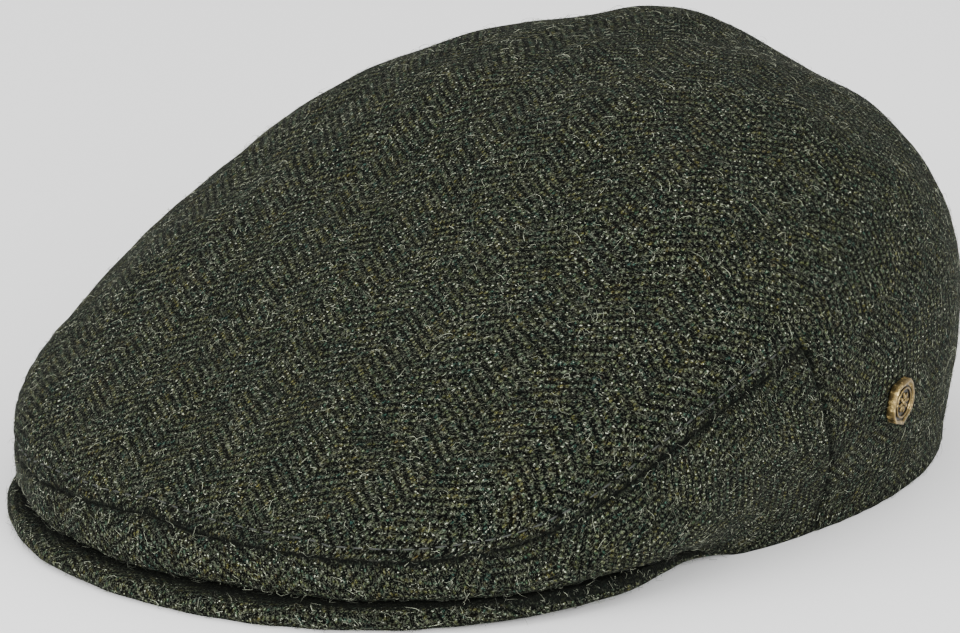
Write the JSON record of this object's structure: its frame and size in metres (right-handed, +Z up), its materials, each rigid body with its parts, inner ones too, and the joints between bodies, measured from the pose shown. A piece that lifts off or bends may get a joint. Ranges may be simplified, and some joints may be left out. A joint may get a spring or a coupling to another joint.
{
  "type": "flat cap",
  "caption": "Herringbone tweed flat cap with a low side band, a short stiff peak tucked under the front of the crown, and a small brass badge on the left.",
  "frame": {"origin": "middle of the footprint, on the plane that the hem and the peak rest on", "axes": "+Z up through the crown, +Y towards the back of the head, -Y towards the tip of the peak, +X towards the wearer's left, where the badge is"},
  "size_m": [0.1898, 0.2472, 0.0972],
  "materials": {
    "tweed": "herringbone wool tweed, dark green with yellow-green, teal and pale flecks, soft nap",
    "tweed_band": "herringbone wool tweed, dark green with yellow-green, teal and pale flecks, soft nap",
    "tweed_peak": "herringbone wool tweed over a stiff board, topstitched near its edge",
    "badge_brass": "antique brass, bright on its edges and dark in its engraved lines",
    "post_brass": "plain brass"
  },
  "bodies": {
    "root": {"crown_top": "tweed", "side_band": "tweed_band", "peak": "tweed_peak", "badge": "badge_brass", "badge_post": "post_brass"}
  },
  "joints": []
}
